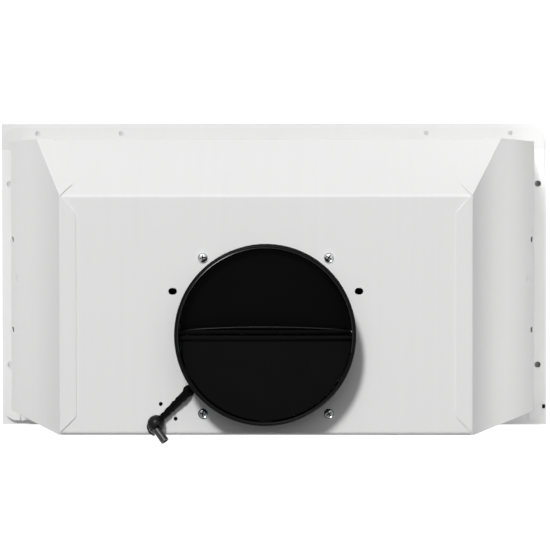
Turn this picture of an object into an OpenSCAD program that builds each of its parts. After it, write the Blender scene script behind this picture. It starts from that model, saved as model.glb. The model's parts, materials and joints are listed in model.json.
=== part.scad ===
// Built-in canopy hood: a folded steel box with a blower, seen here with its duct collar up.
// The box stands on its underside. +Z is up, the wall side is +Y and the room side is -Y.

/* [Box] */
// Width of the box at its foot
body_w = 488; // [470:1:520]
// Depth of the box from room side to wall side
body_d = 250; // [244:1:280]
// Height of the top plate above the underside
body_h = 370; // [356:1:400]
// Width of the flat top plate
top_w = 346; // [336:1:380]
// Depth of the flat top plate
top_d = 201; // [196:1:212]
// Height at which the sides start to lean in
side_fold_h = 90; // [70:1:120]
// Height at which the front starts to slant
front_fold_h = 247; // [225:1:270]
// Thickness of the painted steel sheet
sheet_t = 0.8; // [0.6:0.1:1.2]
// Outer radius of the folds in the sheet
fold_r = 3; // [2:0.5:5]
// Width of the laps of the side panels
lap_w = 14; // [10:1:20]
// Depth of the lap that the top plate turns down over the rear panel
back_lap_h = 25; // [15:1:40]

/* [Foot flange] */
// Width of the flange round the foot of the box
foot_w = 16; // [14:0.5:20]
// Height of the flange's top face above the underside
foot_h = 5; // [4:0.5:8]
// Radius of the flange's corners
foot_corner_r = 12; // [6:1:14]
// Radius of the fold between a wall and the flange
foot_fold_r = 2.2; // [1.5:0.1:3]

/* [Bottom panel] */
// Thickness of the bottom panel
panel_t = 1; // [0.8:0.1:1.5]
// How far the bottom panel shows past the flange at the sides
ledge_side = 2.5; // [1:0.5:5]
// How far the bottom panel shows past the flange at room and wall sides
ledge_end = 4; // [2:0.5:8]
// Height of the upstand that is screwed inside the walls
upstand_h = 20; // [18:1:28]
// Height of the screws through the walls
panel_screw_z = 13; // [11:1:15]

/* [Fixing holes] */
// Radius of the cabinet fixing holes
cabinet_hole_r = 3; // [2:0.25:3.5]
// Distance of the side holes from the wall of the box
side_hole_out = 9.7; // [7:0.1:11]
// Distance of the side holes from the middle of the depth
side_hole_y = 87; // [60:1:100]
// Radius of the room-side strip holes
strip_hole_r = 2.2; // [1.5:0.1:2.6]
// Distance of the strip holes from the wall of the box
strip_hole_out = 10.5; // [8:0.5:12]
// Distance of the inner strip holes from the middle
strip_hole_in_x = 146.5; // [120:0.5:170]
// Distance of the outer strip holes from the middle
strip_hole_end_x = 227; // [200:0.5:236]
// Distance of each hanging slot from the middle of the top plate
hang_slot_x = 78; // [76:0.5:100]
// Distance of the hanging slots in front of the duct axis
hang_slot_back = 35.6; // [30:0.1:60]
// Length of the hanging slots
hang_slot_l = 7.2; // [6:0.1:10]
// Width of the hanging slots
hang_slot_w = 5.6; // [4:0.1:6]
// Width of the clip slots low on the leaning sides
clip_slot_w = 5; // [3:0.5:8]
// Length of the clip slots, measured up the slope
clip_slot_l = 11; // [8:0.5:14]

/* [Duct collar] */
// Outer radius of the duct collar
collar_r = 75; // [74:0.25:76]
// Height of the collar above the top plate
collar_h = 30; // [28:1:45]
// Wall of the collar
collar_wall = 2.2; // [1.8:0.1:2.8]
// Radius by which the rim bead stands in
rim_bead = 0.7; // [0.3:0.1:1.2]
// Distance from the duct axis to the wall side of the box
collar_inset = 85; // [84:0.5:88]
// Width of the collar's foot under the top plate
collar_foot_w = 5; // [4:0.5:6.5]
// Thickness of the collar's foot
collar_foot_t = 1.5; // [1:0.1:2.5]

/* [Damper flaps] */
// Thickness of a flap
flap_t = 1.4; // [1:0.1:2]
// Gap between a flap's rim and the collar
flap_gap = 1.5; // [1:0.1:2.5]
// Upward tilt of a closed flap
flap_rest = 6; // [3:0.5:10]
// Radius of a hinge pin
pin_r = 1; // [0.8:0.1:1.2]
// Distance of each hinge pin from the middle of the duct
pin_off = 2.6; // [2.5:0.1:3.2]
// Radius of a flap's barrel
barrel_r = 2.2; // [2:0.1:2.3]
// Height of the hinge pins above the top plate
pin_h = 16; // [14:0.5:18]

/* [Blower] */
// Outer radius of the blower wheel
wheel_r = 72; // [66:1:74]
// Width of the blower wheel
wheel_w = 80; // [74:1:84]
// Radial depth of a blade
blade_depth = 13; // [10:0.5:14]
// Thickness of a blade
blade_t = 0.9; // [0.8:0.1:1.4]
// Number of blades
blade_count = 36; // [24:1:40]
// Inner width of the scroll
scroll_w = 94; // [92:1:96]
// Wall of the scroll
scroll_wall = 1.5; // [1.2:0.1:2]
// Inner radius of the scroll at its tongue
scroll_start_r = 80; // [79:1:84]
// Inner depth of the scroll's outlet
outlet_d = 136; // [126:1:140]
// Height of the funnel between scroll and collar
funnel_h = 36; // [30:1:42]
// Distance of the wheel axis below the top plate
wheel_drop = 165; // [160:1:172]
// Distance of the wheel axis in front of the duct axis
wheel_back = 45; // [42:1:48]
// Radius of the inlets
inlet_r = 56; // [52:1:58]
// Radius of the motor
motor_r = 42; // [38:1:44]
// Length of the motor
motor_l = 56; // [50:1:60]
// Radius of the motor shaft
shaft_r = 4; // [3:0.5:5]

/* [Filters] */
// Width of one grease filter
filter_w = 207; // [180:1:210]
// Depth of one grease filter
filter_d = 168; // [150:1:170]
// Height of a filter frame
filter_h = 9; // [8:0.5:11]
// Width of the filter frame's rim
filter_rim = 10; // [7:0.5:14]
// Width of the bar between the two filters
filter_bar = 14; // [12:1:20]
// Distance from the wall side of the box to the filter opening
filter_back = 13; // [12:0.5:16]
// Radius of a filter's hinge pegs
peg_r = 2; // [1.5:0.1:2.5]
// Number of folds in a filter's mesh pack
pleat_count = 24; // [12:1:30]

/* [Lamps and controls] */
// Room between a lamp opening and the edges of the strip that it lies in
lamp_room = 3.7; // [3:0.1:8]
// Distance of each lamp from the middle
lamp_x = 185; // [150:1:195]
// Height of a lamp housing
lamp_h = 24; // [18:1:28]
// Width of a button cap
button_w = 14; // [10:0.5:16]
// Depth of a button cap
button_d = 9; // [7:0.5:12]
// Distance from one button to the next
button_pitch = 22; // [20:0.5:24]
// Travel of a button
button_travel = 2.5; // [1.5:0.1:3]

/* [Supply lead] */
// Radius of the supply lead
lead_r = 3.5; // [3:0.05:4]
// Height of the lead's axis above the top plate
lead_rise = 5.25; // [5.25:0.25:7]
// Radius of the domed cord grip
grip_r = 7.1; // [6.5:0.1:8]
// Length of the cut tail past its bend in the cord grip
tail_l = 16.6; // [12:0.1:20]
// Radius of the two clamp holes beside the lead
clamp_hole_r = 1.65; // [1.2:0.05:2.2]

/* [Hidden] */

$fn = 96;

// Gap between pieces that are fitted by hand
clear = 0.3;
// Radial play of a pin or shaft in its hole
play = 0.06;
// Overshoot of a cutting shape past the face that it cuts
cut = 1;

half_w = body_w / 2;
half_top = top_w / 2;
front_y = -body_d / 2;
rear_y = body_d / 2;
crease_y = rear_y - top_d;
lean = atan((half_w - half_top) / (body_h - side_fold_h));
rear_out = rear_y - sheet_t;
rear_in = rear_out - sheet_t;
front_in = front_y + sheet_t;
foot_half_w = half_w + foot_w;
foot_half_d = body_d / 2 + foot_w;
collar_y = rear_y - collar_inset;
under_top = body_h - sheet_t;

// Folded sheet: an outer line of points in one plane, and the same line set back by the sheet
function unit(v) = v / norm(v);
function left_of(v) = [-v[1], v[0]];
function set_over(p, i, t) =
    let (last = len(p) - 1)
    let (d1 = unit(i == 0 ? p[1] - p[0] : p[i] - p[i - 1]))
    let (d2 = unit(i == last ? p[last] - p[last - 1] : p[i + 1] - p[i]))
    let (n1 = left_of(d1), n2 = left_of(d2))
    p[i] + t * (n1 + n2) / (1 + n1 * n2);
function shifted(p, t) = [for (i = [0:len(p) - 1]) set_over(p, i, t)];
function reversed(p) = [for (i = [len(p) - 1:-1:0]) p[i]];
function strip(p, t) = concat(p, reversed(shifted(p, t)));
function fold_at(p, i, r, n) =
    let (d1 = unit(p[i] - p[i - 1]), d2 = unit(p[i + 1] - p[i]))
    let (turn = atan2(cross(d1, d2), d1 * d2), side = sign(turn))
    let (start = p[i] - d1 * r * tan(abs(turn) / 2), centre = start + left_of(d1) * side * r)
    [for (k = [0:n])
        let (a = turn * k / n, v = start - centre)
        centre + [v[0] * cos(a) - v[1] * sin(a), v[0] * sin(a) + v[1] * cos(a)]];
function folded(p, r, n = 5) =
    [p[0], for (i = [1:len(p) - 2]) each fold_at(p, i, r[i - 1], n), p[len(p) - 1]];

// A profile in the Y-Z plane drawn out along X, and one in the X-Z plane drawn out along Y
module along_x(w) {
    rotate([90, 0, 90]) linear_extrude(w, center = true) children();
}
module along_y(d) {
    rotate([90, 0, 0]) linear_extrude(d, center = true) children();
}

// Outer half width of the box at a height
function half_at(z) = z < side_fold_h ? half_w : half_w - (z - side_fold_h) * tan(lean);

// Side line of the box, from the foot up, and the room-side line of the wrapper
side_line = [[half_w, 0], [half_w, side_fold_h], [half_top, body_h]];
wrap_line = [[front_y, 0], [front_y, front_fold_h], [crease_y, body_h], [rear_y, body_h]];

// Everything between the inner faces of the two side panels
module between_sides(d = 2 * foot_half_d) {
    inner = shifted(side_line, sheet_t + clear);
    top = [inner[2][0], body_h + cut];
    half = concat([inner[0], inner[1], inner[2]], [top]);
    along_y(d) polygon(concat(half, reversed([for (p = half) [-p[0], p[1]]])));
}

// Plan outline of the foot flange, set in by a distance
module foot_outline(inset = 0) {
    w = foot_half_w - inset;
    d = foot_half_d - inset;
    r = foot_corner_r - inset;
    square([2 * w, 2 * (d - r)], center = true);
    square([2 * (w - r), 2 * d], center = true);
    for (x = [-1, 1], y = [-1, 1]) translate([x * (w - r), y * (d - r)]) circle(r);
}

// Flange plate and its down-turned lip, kept inside the plan shape given as children
module foot_flange() {
    intersection() {
        union() {
            translate([0, 0, foot_h - sheet_t]) linear_extrude(sheet_t) foot_outline();
            translate([0, 0, panel_t]) linear_extrude(foot_h - sheet_t - panel_t) difference() {
                foot_outline();
                foot_outline(sheet_t);
            }
        }
        translate([0, 0, -cut]) linear_extrude(foot_h + 2 * cut) children();
    }
}

foot_turn_front = front_y - foot_fold_r;
foot_turn_rear = rear_out + foot_fold_r;
// Seams of the flange near each corner, in line with the side walls
foot_seam = 0.5;
seam_x = half_w + 0.3;

module cabinet_holes() {
    for (x = [-1, 1], y = [-1, 1])
        translate([x * (half_w + side_hole_out), y * side_hole_y, -cut])
            cylinder(h = foot_h + 2 * cut, r = cabinet_hole_r);
}
module strip_holes() {
    for (x = [-strip_hole_end_x, -strip_hole_in_x, strip_hole_in_x, strip_hole_end_x])
        translate([x, front_y - strip_hole_out, -cut])
            cylinder(h = foot_h + 2 * cut, r = strip_hole_r);
}

// Screws through the walls into the upstand of the bottom panel: place and turn of each
panel_screw_r = 1.6;
panel_head_r = 3.5;
panel_head_h = 2;
panel_screw_past = 4;
side_screw_y = 62;
end_screw_x = 130;
module at_panel_screws() {
    for (s = [-1, 1], y = [-side_screw_y, side_screw_y])
        translate([s * half_w, y, panel_screw_z]) rotate([0, s * 90, 0]) children();
    for (x = [-end_screw_x, 0, end_screw_x]) {
        translate([x, front_y, panel_screw_z]) rotate([90, 0, 0]) children();
        translate([x, rear_out, panel_screw_z]) rotate([-90, 0, 0]) children();
    }
}
module panel_screw_holes() {
    at_panel_screws() translate([0, 0, -upstand_h / 2])
        cylinder(h = upstand_h, r = panel_screw_r + play);
}

// Screws beside the collar, from the top plate into the blower flange
collar_screw_x = 52.8;
collar_screw_y = 65.3;
collar_screw_back = 1.6;
collar_screw_r = 2;
collar_head_r = 4.2;
collar_head_h = 2.6;
collar_screw_l = 9;
module at_collar_screws() {
    for (x = [-1, 1], y = [-1, 1])
        translate([x * collar_screw_x, collar_y + collar_screw_back + y * collar_screw_y, body_h])
            children();
}
module collar_screw_holes() {
    at_collar_screws() translate([0, 0, -funnel_h / 2])
        cylinder(h = funnel_h, r = collar_screw_r + play);
}

// Supply lead: out of the top plate beside the collar, across the plate and through its grip
boot_r = 5;
boot_play = 0.4;
boot_along = (collar_r + boot_play + boot_r) / norm([65.3, 48.3]);
boot_at = [65.3 * boot_along, collar_y + 48.3 * boot_along];
grip_run = 38.6;
grip_at = boot_at + grip_run * [cos(45), sin(45)];
lead_past = 2.2;
tail_turn = 127;
tail_tilt = 18;
lead_top = body_h + lead_rise;
tail_at = grip_at + lead_past * [cos(45), sin(45)];
tail_end = [tail_at[0] + tail_l * cos(tail_tilt) * cos(tail_turn),
            tail_at[1] + tail_l * cos(tail_tilt) * sin(tail_turn),
            lead_top + tail_l * sin(tail_tilt)];

// Terminal box under the top plate
box_x = 96;
box_w = 60;
box_d = 60;
box_h = 38;
box_wall = 2;
box_y = collar_y + 5;
box_z = under_top - box_h;
lead_in_z = under_top - box_h / 2;
lead_points = [[box_x + box_wall + lead_r, boot_at[1], lead_in_z],
               [boot_at[0], boot_at[1], lead_in_z],
               [boot_at[0], boot_at[1], lead_top],
               [tail_at[0], tail_at[1], lead_top],
               tail_end];
lead_bend = 8;
lead_bends = [lead_bend, lead_r + clear, lead_r + clear];

// Lead from point to point: the route with its corners bent, then a round tube swept along it
bend_steps = 5;
function route(points, bends) =
    let (last = len(points) - 1)
    let (dirs = [for (i = [0:last - 1]) unit(points[i + 1] - points[i])])
    [points[0],
     for (i = [1:last - 1])
        let (ahead = dirs[i - 1], turn = acos(ahead * dirs[i]), r = bends[i - 1])
        let (inward = unit(dirs[i] - (dirs[i] * ahead) * ahead))
        let (start = points[i] - ahead * r * tan(turn / 2), middle = start + inward * r)
        each [for (k = [0:bend_steps])
            middle - inward * r * cos(turn * k / bend_steps) + ahead * r * sin(turn * k / bend_steps)],
     points[last]];
function ring_axis(path, i) =
    unit(path[min(i + 1, len(path) - 1)] - path[max(i - 1, 0)]);
function square_to(v, axis) = unit(v - (v * axis) * axis);
module lead_tube(path, r, sides) {
    last = len(path) - 1;
    seed = square_to([0.31, 0.53, 0.79], ring_axis(path, 0));
    normals = [for (i = 0, n = seed; i <= last;
        i = i + 1, n = i <= last ? square_to(n, ring_axis(path, i)) : n) n];
    rings = [for (i = [0:last])
        let (axis = ring_axis(path, i), side = cross(axis, normals[i]))
        each [for (k = [0:sides - 1])
            path[i] + r * (normals[i] * cos(360 * k / sides) + side * sin(360 * k / sides))]];
    walls = [for (i = [0:last - 1], k = [0:sides - 1])
        let (a = i * sides + k, b = i * sides + (k + 1) % sides)
        each [[a, a + sides, b], [b, a + sides, b + sides]]];
    polyhedron(rings, concat(walls, [[for (k = [0:sides - 1]) k]],
        [[for (k = [sides - 1:-1:0]) last * sides + k]]));
}
// Straight hole for a lead, from one point to another
module lead_hole(from, to, r) {
    run = to - from;
    translate(from) rotate([0, acos(run[2] / norm(run)), atan2(run[1], run[0])])
        cylinder(h = norm(run), r = r, $fn = 48);
}
// Upright post with a round end, the profile turned about Z
module domed_post(r, h) {
    rotate_extrude() {
        square([r, h]);
        translate([0, h]) intersection() {
            circle(r);
            square([r, r]);
        }
    }
}

// One sheet folded into the room-side flange, front, slanted front, top plate and rear lap
module front_top_sheet() {
    line = folded([[front_y - foot_w / 2, foot_h], [front_y, foot_h], [front_y, front_fold_h],
                   [crease_y, body_h], [rear_y, body_h], [rear_y, body_h - back_lap_h]],
                  [foot_fold_r, fold_r, fold_r, fold_r]);
    color("gainsboro") difference() {
        union() {
            intersection() {
                along_x(2 * half_w) polygon(strip(line, -sheet_t));
                between_sides();
            }
            foot_flange() translate([-seam_x, -foot_half_d])
                square([2 * seam_x, foot_turn_front + foot_half_d]);
        }
        translate([0, collar_y, under_top - cut]) cylinder(h = sheet_t + 2 * cut, r = collar_r + clear);
        for (x = [-1, 1])
            translate([x * hang_slot_x, collar_y - hang_slot_back, under_top - cut])
                linear_extrude(sheet_t + 2 * cut) slot(hang_slot_l, hang_slot_w);
        at_clamp_holes() cylinder(h = 4 * cut, r = clamp_hole_r, center = true);
        translate([boot_at[0], boot_at[1], under_top - cut])
            cylinder(h = sheet_t + 2 * cut, r = boot_stem_r + play);
        translate([grip_at[0], grip_at[1], under_top - cut])
            cylinder(h = sheet_t + 2 * cut, r = grip_stem_r + play);
        collar_screw_holes();
        strip_holes();
        panel_screw_holes();
    }
}
module slot(l, w) {
    square([l - w, w], center = true);
    for (s = [-1, 1]) translate([s * (l - w) / 2, 0]) circle(w / 2);
}
clamp_off = 8.8;
clamp_back = 14.2;
module at_clamp_holes() {
    for (s = [-1, 1])
        translate([grip_at[0], grip_at[1], body_h]) rotate([0, 0, 45])
            translate([-clamp_back, s * clamp_off, 0]) children();
}

// Side panel: a sheet with its foot flange, leaning upper part and laps over the wrapper
lap_foot = 14;
mitre_l = 16.5;
mitre_out = 1.5;
clip_slot_ys = [-35, 49];
clip_lug_up = 36;
clip_lug = [3, 6];
clip_pin_up = 24;
clip_pin_y = 2.2;
clip_pin_r = 0.9;
module side_panel() {
    side = folded([[half_w + foot_w / 2, foot_h], [half_w, foot_h], [half_w, side_fold_h],
                   [half_top, body_h + sheet_t], [half_top - lap_w, body_h + sheet_t]],
                  [foot_fold_r, fold_r, fold_r / 2]);
    lap_line = [[half_w, foot_h + lap_foot], [half_w, side_fold_h], [half_top, body_h + cut]];
    lap_path = folded(wrap_line, [fold_r, fold_r]);
    over = shifted(wrap_line, sheet_t);
    difference() {
        union() {
            intersection() {
                along_y(2 * foot_half_d) polygon(strip(side, sheet_t));
                along_x(4 * foot_half_w) polygon([[over[0][0], 0], over[1], over[2],
                    [rear_y, body_h + sheet_t], [rear_y, 0]]);
            }
            intersection() {
                along_x(4 * foot_half_w) polygon(strip(lap_path, sheet_t));
                along_y(2 * foot_half_d) polygon(strip(lap_line, lap_w));
                translate([0, front_y - lap_w, 0])
                    cube([2 * half_w, crease_y - front_y + lap_w, body_h + 2 * cut]);
            }
            foot_flange() {
                translate([half_w + foot_fold_r, -foot_half_d]) square([foot_w, 2 * foot_half_d]);
                translate([seam_x + foot_seam, -foot_half_d])
                    square([foot_w, foot_half_d + front_y - sheet_t]);
                translate([seam_x + foot_seam, rear_y]) square([foot_w, foot_w]);
            }
        }
        side_mitres();
        cabinet_holes();
        panel_screw_holes();
        at_slope(side_fold_h + clip_slot_l, clip_slot_ys)
            linear_extrude(6 * cut, center = true) slot(clip_slot_l, clip_slot_w);
        at_slope(side_fold_h + clip_lug_up, [0])
            cube([clip_lug[0], clip_lug[1], 6 * cut], center = true);
        at_slope(side_fold_h + clip_pin_up, [-clip_pin_y, clip_pin_y])
            cylinder(h = 6 * cut, r = clip_pin_r, center = true, $fn = 24);
    }
}
// A place on the outer face of the leaning side, with Z out of the sheet and X down the slope
module at_slope(z, ys) {
    for (y = ys) translate([half_at(z), y, z]) rotate([0, 90 - lean, 0]) children();
}
// Mitred ends of the laps at the front crease and at the wall side of the top plate
module side_mitres() {
    tip = half_top - sheet_t - clear;
    inner = half_top - lap_w - cut;
    translate([0, 0, front_fold_h]) linear_extrude(body_h - front_fold_h + 3 * cut)
        polygon([[tip, crease_y], [inner, crease_y - mitre_l], [inner, crease_y + mitre_l]]);
    translate([0, 0, body_h]) linear_extrude(3 * cut)
        polygon([[half_top + mitre_out + cut, rear_y + cut],
                 [inner, rear_y + inner - half_top - mitre_out], [inner, rear_y + cut]]);
}
module side_panel_right() {
    color("gainsboro") side_panel();
}
module side_panel_left() {
    color("gainsboro") difference() {
        mirror([1, 0, 0]) side_panel();
        translate([-foot_half_w - cut, plug_y - plug_d / 2 - clear, 0])
            cube([plug_in + clear + cut, plug_d + 2 * clear, foot_h + cut]);
    }
}

// Small plug set in the rim of the left flange
plug_y = 127.2;
plug_in = 1.7;
plug_out = 0.9;
plug_d = 3.4;
plug_up = 0.6;
module edge_plug() {
    color([0.05, 0.05, 0.05])
        translate([-foot_half_w - plug_out, plug_y - plug_d / 2, panel_t + play])
            cube([plug_in + plug_out, plug_d, foot_h + plug_up - panel_t - play]);
}

// Rear panel between the side panels, with its own foot flange
module rear_panel() {
    line = folded([[rear_out + foot_w / 2, foot_h], [rear_out, foot_h],
                   [rear_out, body_h - fold_r - clear]], [foot_fold_r]);
    color("gainsboro") difference() {
        union() {
            intersection() {
                along_x(2 * half_w) polygon(strip(line, sheet_t));
                between_sides();
            }
            foot_flange() translate([-seam_x, foot_turn_rear])
                square([2 * seam_x, foot_half_d - foot_turn_rear]);
        }
        panel_screw_holes();
    }
}

// Bottom panel: the visible underside, with upstands round its edge and round each filter
filter_gap = 0.5;
peg_in = 6;
peg_z = 5;
filter_z = clear;
hatch_r = norm([peg_in, max(peg_z - filter_z, filter_z + filter_h - peg_z)]);
swing_gap = 0.8;
filter_slack = hatch_r - peg_in + swing_gap;
hatch_w = filter_w + 2 * filter_gap;
hatch_d = filter_d + 2 * filter_slack;
hatch_rear = rear_y - filter_back;
hatch_x = (filter_bar + hatch_w) / 2;
hatch_y = hatch_rear - hatch_d / 2;
filter_rear = hatch_rear - filter_slack;
filter_y = filter_rear - filter_d / 2;
peg_y = filter_rear - peg_in;
hatch_rim_h = filter_h;
strip_front = front_in + panel_t;
strip_rear = hatch_rear - hatch_d - panel_t;
lamp_y = (strip_front + strip_rear) / 2;
lamp_r = (strip_rear - strip_front) / 2 - lamp_room;
button_clear = 0.5;
button_xs = [for (i = [-2:2]) i * button_pitch];
module bottom_panel() {
    panel_w = 2 * (foot_half_w + ledge_side);
    panel_d = 2 * (foot_half_d + ledge_end);
    room_w = 2 * (half_w - sheet_t);
    room_d = rear_in - front_in;
    color("whitesmoke") difference() {
        union() {
            translate([-panel_w / 2, -panel_d / 2, 0]) cube([panel_w, panel_d, panel_t]);
            translate([-room_w / 2, front_in, 0]) cube([room_w, room_d, panel_t + upstand_h]);
        }
        difference() {
            translate([panel_t - room_w / 2, front_in + panel_t, panel_t])
                cube([room_w - 2 * panel_t, room_d - 2 * panel_t, upstand_h + cut]);
            for (s = [-1, 1]) translate([s * hatch_x, hatch_y, hatch_rim_h / 2])
                cube([hatch_w + 2 * panel_t, hatch_d + 2 * panel_t, hatch_rim_h], center = true);
        }
        for (s = [-1, 1]) translate([s * hatch_x, hatch_y, 0])
            cube([hatch_w, hatch_d, 2 * (upstand_h + cut)], center = true);
        for (s = [-1, 1]) translate([s * hatch_x, peg_y, peg_z]) rotate([0, 90, 0])
            cylinder(h = hatch_w + 4 * panel_t, r = peg_r + play, center = true);
        for (s = [-1, 1]) translate([s * lamp_x, lamp_y, -cut])
            cylinder(h = panel_t + 2 * cut, r = lamp_r);
        for (x = button_xs) translate([x, lamp_y, 0])
            cube([button_w + 2 * button_clear, button_d + 2 * button_clear, 4 * panel_t], center = true);
        cabinet_holes();
        strip_holes();
        panel_screw_holes();
    }
}

// Duct collar: turned tube with a rolled rim, set in a little below the lead, a foot under the top
// plate and stops for the flaps
rim_r = (collar_wall + rim_bead) / 2;
rim_mid = collar_r - rim_r;
collar_in = collar_r - collar_wall;
foot_r = collar_r + collar_foot_w;
collar_low = under_top - collar_foot_t;
pin_z = body_h + pin_h;
neck_in = 0.7;
neck_z = lead_top + boot_r + 2.75;
stop_w = 10;
stop_l = 3.4;
stop_t = 2.5;
module duct_collar() {
    color([0.05, 0.05, 0.055]) difference() {
        union() {
            translate([0, collar_y, collar_low]) rotate_extrude() {
                translate([collar_in, 0])
                    square([collar_wall - neck_in, body_h + collar_h - rim_r - collar_low]);
                translate([collar_in, neck_z - collar_low])
                    square([collar_wall, body_h + collar_h - rim_r - neck_z]);
                translate([collar_in, 0]) square([foot_r - collar_in, collar_foot_t]);
                translate([rim_mid, body_h + collar_h - rim_r - collar_low]) circle(rim_r, $fn = 32);
            }
            intersection() {
                flap_stops();
                translate([0, collar_y, collar_low])
                    cylinder(h = collar_h + body_h - collar_low, r = collar_r - collar_wall / 2);
            }
        }
        for (s = [-1, 1]) translate([0, collar_y + s * pin_off, pin_z]) rotate([0, 90, 0])
            cylinder(h = 2 * collar_r - collar_wall, r = pin_r + play, center = true, $fn = 32);
        translate([boot_at[0], boot_at[1], collar_low - cut])
            cylinder(h = collar_foot_t + 2 * cut, r = boot_stem_r + clear);
    }
}
// Small shelves on the wall that a closed flap lies on, tilted as the flap is
module flap_stops() {
    for (s = [-1, 1], a = [25, 90, 155])
        at_flap(s) rotate([0, 0, s * a])
            translate([collar_in - stop_l, -stop_w / 2, -barrel_r - stop_t - clear])
                cube([2 * stop_l, stop_w, stop_t]);
}
// Hinge of a flap: origin on the middle of the duct at pin height, turned to the closed tilt
module at_flap(s) {
    translate([0, collar_y + s * pin_off, pin_z]) rotate([s * flap_rest, 0, 0])
        translate([0, -s * pin_off, 0]) children();
}

// Damper flap: half a disc with a barrel along its straight edge, the front one with an arched rib
groove_w = 1.2;
groove_x = 9.5;
groove_in = 0.5;
module damper_flap(s) {
    flap_r = collar_in - flap_gap;
    barrel_half = sqrt(flap_r * flap_r - pow(pin_off + barrel_r, 2));
    at_flap(s) difference() {
        union() {
            intersection() {
                translate([0, 0, -barrel_r]) cylinder(h = flap_t, r = flap_r);
                translate([-flap_r, s > 0 ? pin_off : -flap_r - pin_off, -2 * barrel_r])
                    cube([2 * flap_r, flap_r, 4 * barrel_r]);
            }
            translate([0, s * pin_off, 0]) rotate([0, 90, 0])
                cylinder(h = 2 * barrel_half, r = barrel_r, center = true, $fn = 48);
            if (s < 0) intersection() {
                translate([0, s * (pin_off + barrel_r + rib_off), -rib_arch_r + rib_top])
                    rotate([90, 0, 0]) cylinder(h = rib_t, r = rib_arch_r, center = true, $fn = 360);
                translate([rib_in - barrel_half, -flap_r, -barrel_r])
                    cube([2 * (barrel_half - rib_in), 2 * flap_r, 4 * barrel_r]);
            }
        }
        translate([0, s * pin_off, 0]) rotate([0, 90, 0])
            cylinder(h = 2 * collar_r, r = pin_r + play, center = true, $fn = 32);
        translate([-groove_x, s * pin_off, 0]) rotate([0, 90, 0]) difference() {
            cylinder(h = groove_w, r = barrel_r + play, center = true, $fn = 48);
            cylinder(h = groove_w + cut, r = barrel_r - groove_in, center = true, $fn = 48);
        }
    }
}
rib_top = 3;
rib_arch_r = 900;
rib_off = 1.4;
rib_t = 1.2;
rib_in = 4;
module damper_flap_front() {
    color([0.07, 0.07, 0.075]) damper_flap(-1);
}
module damper_flap_rear() {
    color([0.08, 0.08, 0.085]) damper_flap(1);
}
module damper_pins() {
    color("silver") for (s = [-1, 1]) translate([0, collar_y + s * pin_off, pin_z])
        rotate([0, 90, 0])
            cylinder(h = 2 * collar_r - collar_wall - 2 * play, r = pin_r, center = true, $fn = 32);
}

// Pan head screws with a cross recess
module pan_screw(head_r, head_h, shank_r, shank_l) {
    difference() {
        union() {
            rotate_extrude() intersection() {
                translate([0, head_h - head_r * 2]) circle(head_r * 2, $fn = 120);
                square([head_r, head_h]);
            }
            translate([0, 0, -shank_l]) cylinder(h = shank_l + head_h / 2, r = shank_r, $fn = 32);
        }
        for (a = [0, 90]) rotate([0, 0, a]) translate([0, 0, head_h])
            cube([head_r * 1.2, head_r * 0.24, head_h * 1.1], center = true);
    }
}
module collar_screws() {
    color("silver") at_collar_screws()
        pan_screw(collar_head_r, collar_head_h, collar_screw_r, collar_screw_l);
}
module panel_screws() {
    color("silver") at_panel_screws()
        pan_screw(panel_head_r, panel_head_h, panel_screw_r, sheet_t + panel_t + panel_screw_past);
}

// Steel ring plate that the blower hangs from
flange_plate_t = 1.5;
flange_plate_r = 90;
flange_z = collar_low - flange_plate_t;
module blower_flange() {
    color("lightgray") difference() {
        intersection() {
            translate([0, collar_y, flange_z]) cylinder(h = flange_plate_t, r = flange_plate_r);
            translate([-flange_plate_r, front_y, 0])
                cube([2 * flange_plate_r, rear_in - clear - front_y, body_h]);
        }
        translate([0, collar_y, flange_z - cut]) cylinder(h = flange_plate_t + 2 * cut, r = collar_in);
        collar_screw_holes();
        for (s = [-1, 1])
            translate([s * (hang_slot_x + hang_slot_l), collar_y - hang_slot_back, flange_z])
                cube([3 * hang_slot_l + 2 * clear, hang_slot_w + 2 * clear, 2 * (flange_plate_t + cut)],
                     center = true);
        translate([boot_at[0], boot_at[1], flange_z - cut])
            cylinder(h = flange_plate_t + 2 * cut, r = boot_stem_r + clear);
    }
}

// Funnel from the scroll's square outlet to the round collar: four rings of points, joined in turn
scroll_top = flange_z - funnel_h;
ring_steps = 8;
function corner_turns(half) =
    let (c = atan2(half[1], half[0]))
    [0, c, 90, 180 - c, 180, 180 + c, 270, 360 - c, 360];
function ring_turns(half) =
    let (t = corner_turns(half))
    [for (i = [0:7], k = [0:ring_steps - 1]) t[i] + (t[i + 1] - t[i]) * k / ring_steps];
function box_ring(half, z) =
    [for (a = ring_turns(half))
        let (d = [cos(a), sin(a)], p = d / max(abs(d[0]) / half[0], abs(d[1]) / half[1]))
        [p[0], p[1], z]];
function round_ring(half, r, z) = [for (a = ring_turns(half)) [r * cos(a), r * sin(a), z]];
module outlet_funnel() {
    half = [scroll_w, outlet_d] / 2;
    wide = half + [scroll_wall, scroll_wall];
    rings = concat(box_ring(wide, scroll_top), round_ring(wide, collar_in + scroll_wall, flange_z),
                   round_ring(half, collar_in, flange_z), box_ring(half, scroll_top));
    n = 8 * ring_steps;
    color("gray") translate([0, collar_y, 0])
        polyhedron(rings, [for (j = [0:3], k = [0:n - 1])
            let (a = j * n + k, b = j * n + (k + 1) % n)
            let (c = ((j + 1) % 4) * n + (k + 1) % n, d = ((j + 1) % 4) * n + k)
            each [[a, d, c], [a, c, b]]]);
}

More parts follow.
